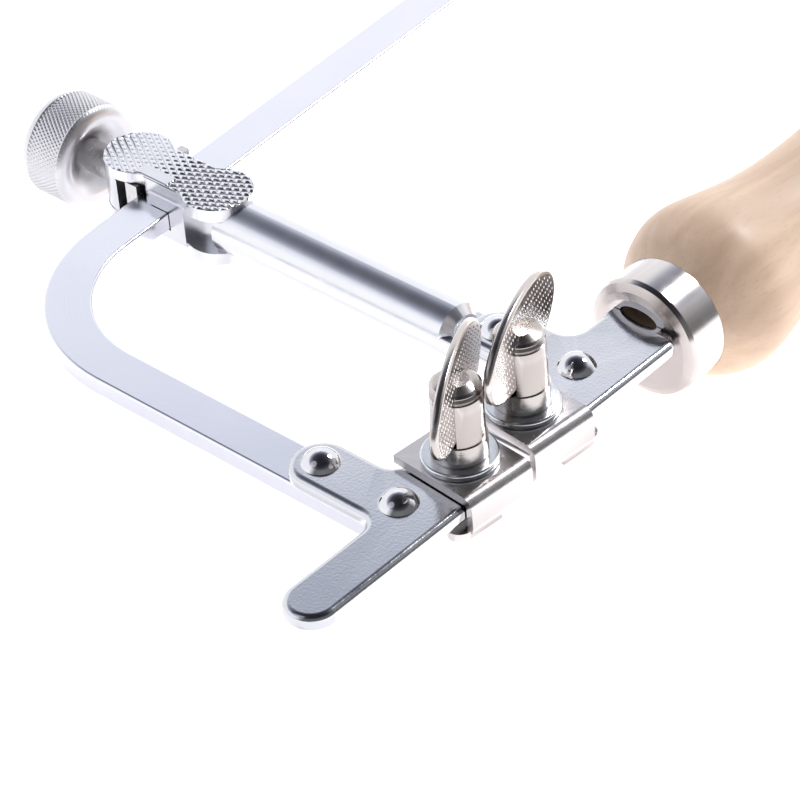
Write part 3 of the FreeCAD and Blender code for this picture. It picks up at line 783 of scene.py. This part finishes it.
def cut_depth(x, y):
    # the cuts are one millimetre apart, so the whole part of a line's number counts them
    steep = x * math.cos(CUT_TURN) - y * math.sin(CUT_TURN)
    other = x * math.cos(CUT_TURN) + y * math.sin(CUT_TURN)
    depth = 0.0
    share = min(1.0, max(FAINTEST, (FADE_END_Y - y) / FADE_LENGTH))
    plain = x < PLAIN_X and PLAIN_LOW_Y < y < PLAIN_HIGH_Y
    for line, deep in ((steep, DEEP_CUT), (other, SECOND_CUT * share)):
        off = abs(line % 1.0 - 0.5)
        depth = max(depth, deep * max(0.0, 1.0 - off / CUT_HALF))
    return 0.0 if plain else depth


for name, face_z, inward in (("upper_grip_skin", UPPER_FACE_Z, -1.0), ("lower_grip_skin", LOWER_FACE_Z, 1.0)):
    shape = bmesh.new()
    grid, feet = [], []
    for row in range(SKIN_ROWS + 1):
        y = SKIN_START_Y + (SKIN_END_Y - SKIN_START_Y) * row / SKIN_ROWS
        near = [pad_half_width(y + 0.12 * k) for k in range(-4, 5)]
        width = max(0.35, sum(near) / len(near))
        line = []
        for column in range(SKIN_ACROSS + 1):
            x = width * (2.0 * column / SKIN_ACROSS - 1.0)
            rim = width - abs(x)
            round_off = RIM_ROUND * max(0.0, 1.0 - rim / RIM_REACH) ** 2
            z = face_z + inward * (cut_depth(x, y) * min(1.0, rim / 0.2) + round_off)
            line.append(shape.verts.new(Vector((ARM_X + x, y, z)) * MM))
        grid.append(line)
        foot_z = face_z + inward * SKIN_THICK
        feet.append([shape.verts.new(Vector((ARM_X + side * width, y, foot_z)) * MM) for side in (-1, 1)])
    for line, above, foot, foot_above in zip(grid, grid[1:], feet, feet[1:]):
        for column in range(SKIN_ACROSS):
            shape.faces.new((line[column], line[column + 1], above[column + 1], above[column]))
        shape.faces.new((line[0], above[0], foot_above[0], foot[0]))
        shape.faces.new((line[-1], foot[1], foot_above[1], above[-1]))
        shape.faces.new((foot[0], foot_above[0], foot_above[1], foot[1]))
    for end in (0, SKIN_ROWS):
        shape.faces.new(grid[end] + feet[end][::-1])
    set_down(name, shape, chrome_rod, "frame", [], 32.0)

# %% [markdown]
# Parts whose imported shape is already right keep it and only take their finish. These are the
# handle, the ferrule, the plates, the rod, the bar, the rivets, the jaws, the washers, the screws
# and the shoe.

# %% Finishes for the parts that keep their shape
kept = {
    chrome_plate: ("nose_plate", "handle_plate"),
    drawn: ("back_bar",),
    chrome_dome: ("handle_rivet_inner", "handle_rivet_outer", "nose_rivet_inner", "nose_rivet_outer"),
    nickel_jaw: ("nose_jaw", "handle_jaw"),
    zinc_washer: ("nose_washer", "handle_washer"),
    nickel_turned: ("nose_screw", "handle_screw"),
    plain_steel: ("pressure_shoe", "clamp_screw"),
    chrome_rod: ("arm_rod",),
    nickel_ferrule: ("ferrule",),
    beech: ("handle",),
}
for metal, names in kept.items():
    for name in names:
        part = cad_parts[name]
        for part_slot in part.material_slots:
            part_slot.material = metal
        print(name, "wears", metal.name)
